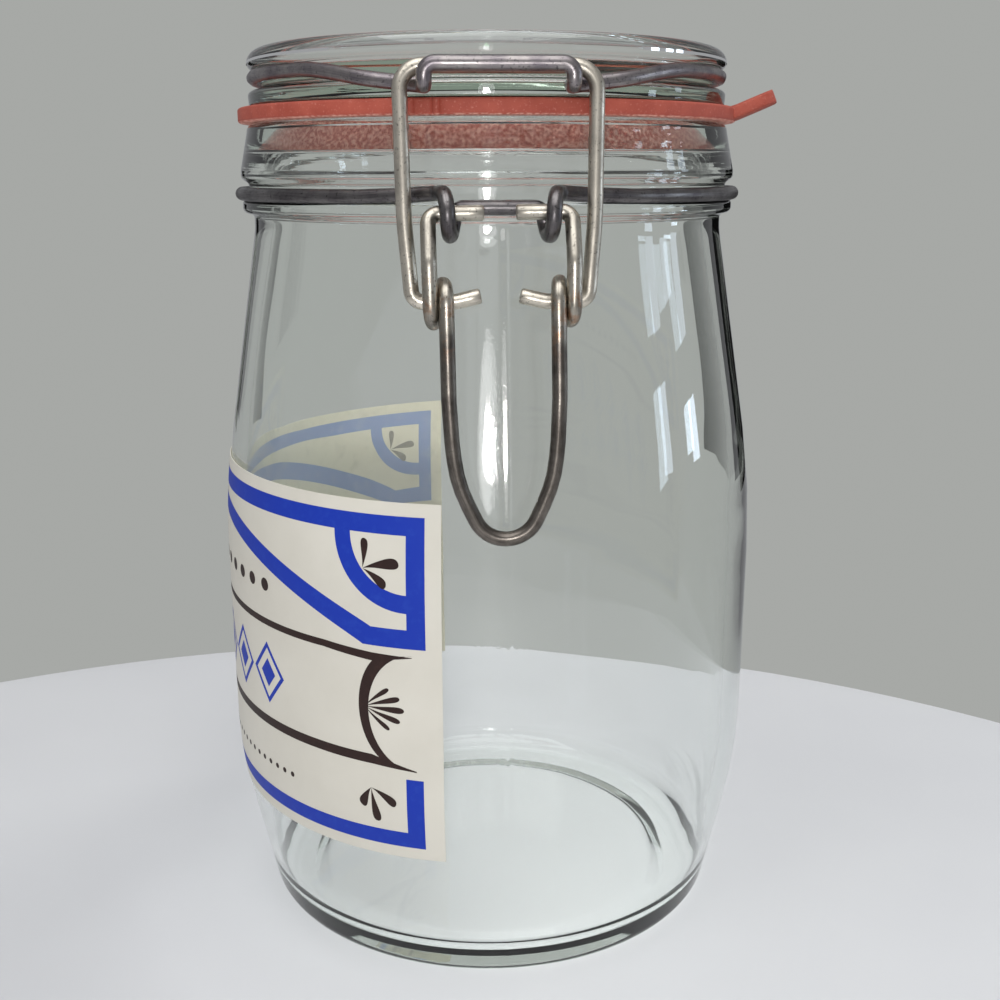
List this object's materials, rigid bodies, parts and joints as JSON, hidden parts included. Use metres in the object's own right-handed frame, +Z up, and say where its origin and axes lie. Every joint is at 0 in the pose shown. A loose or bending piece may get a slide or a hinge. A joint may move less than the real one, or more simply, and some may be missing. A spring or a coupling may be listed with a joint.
{
  "type": "wire bail jar",
  "caption": "Clear glass storage jar with a barrel body, a glass lid on a rubber ring, a bent wire toggle closure with a rear wire hinge, and a paper label round one side.",
  "frame": {"origin": "centre of the foot on the jar's axis, at the height of the table", "axes": "+Z up along the jar's axis; the closure faces -Y, the lid's hinge is at +Y, the rubber ring's pull tab points to +X and the label is centred on -X"},
  "size_m": [0.1138, 0.121, 0.1766],
  "materials": {
    "jar_glass": "clear blown glass, very slightly green",
    "lid_glass": "clear pressed glass, very slightly green",
    "rubber_ring": "matt brick-red rubber",
    "neck_wire": "drawn wire, slightly dulled",
    "lid_wire": "drawn wire, slightly dulled",
    "lever_wire": "drawn wire, dulled with a little rust at the eyes",
    "bail_wire": "drawn wire",
    "label_paper": "printed paper with a satin coat"
  },
  "bodies": {
    "jar": {"jar_glass": "jar_glass", "neck_wire": "neck_wire", "label": "label_paper"},
    "lid": {"lid_glass": "lid_glass", "lid_wire": "lid_wire", "gasket": "rubber_ring"},
    "lever": {"lever": "lever_wire"},
    "bail": {"bail": "bail_wire"}
  },
  "joints": [
    {"name": "lid_hinge", "type": "hinge", "parent": "jar", "child": "lid", "pos_m": [0, 0.0559, 0.16], "axis": [-1, 0, 0], "range_deg": [0, 110]},
    {"name": "lever_pivot", "type": "hinge", "parent": "jar", "child": "lever", "pos_m": [0, -0.054, 0.1473], "axis": [-1, 0, 0], "range_deg": [0, 100]},
    {"name": "bail_swing", "type": "hinge", "parent": "lever", "child": "bail", "pos_m": [0, -0.055, 0.1329], "axis": [-1, 0, 0], "range_deg": [-168, 0]}
  ],
  "couplings": [
    {"joint": "bail_swing", "follows": "lever_pivot", "ratio": -1.68}
  ]
}
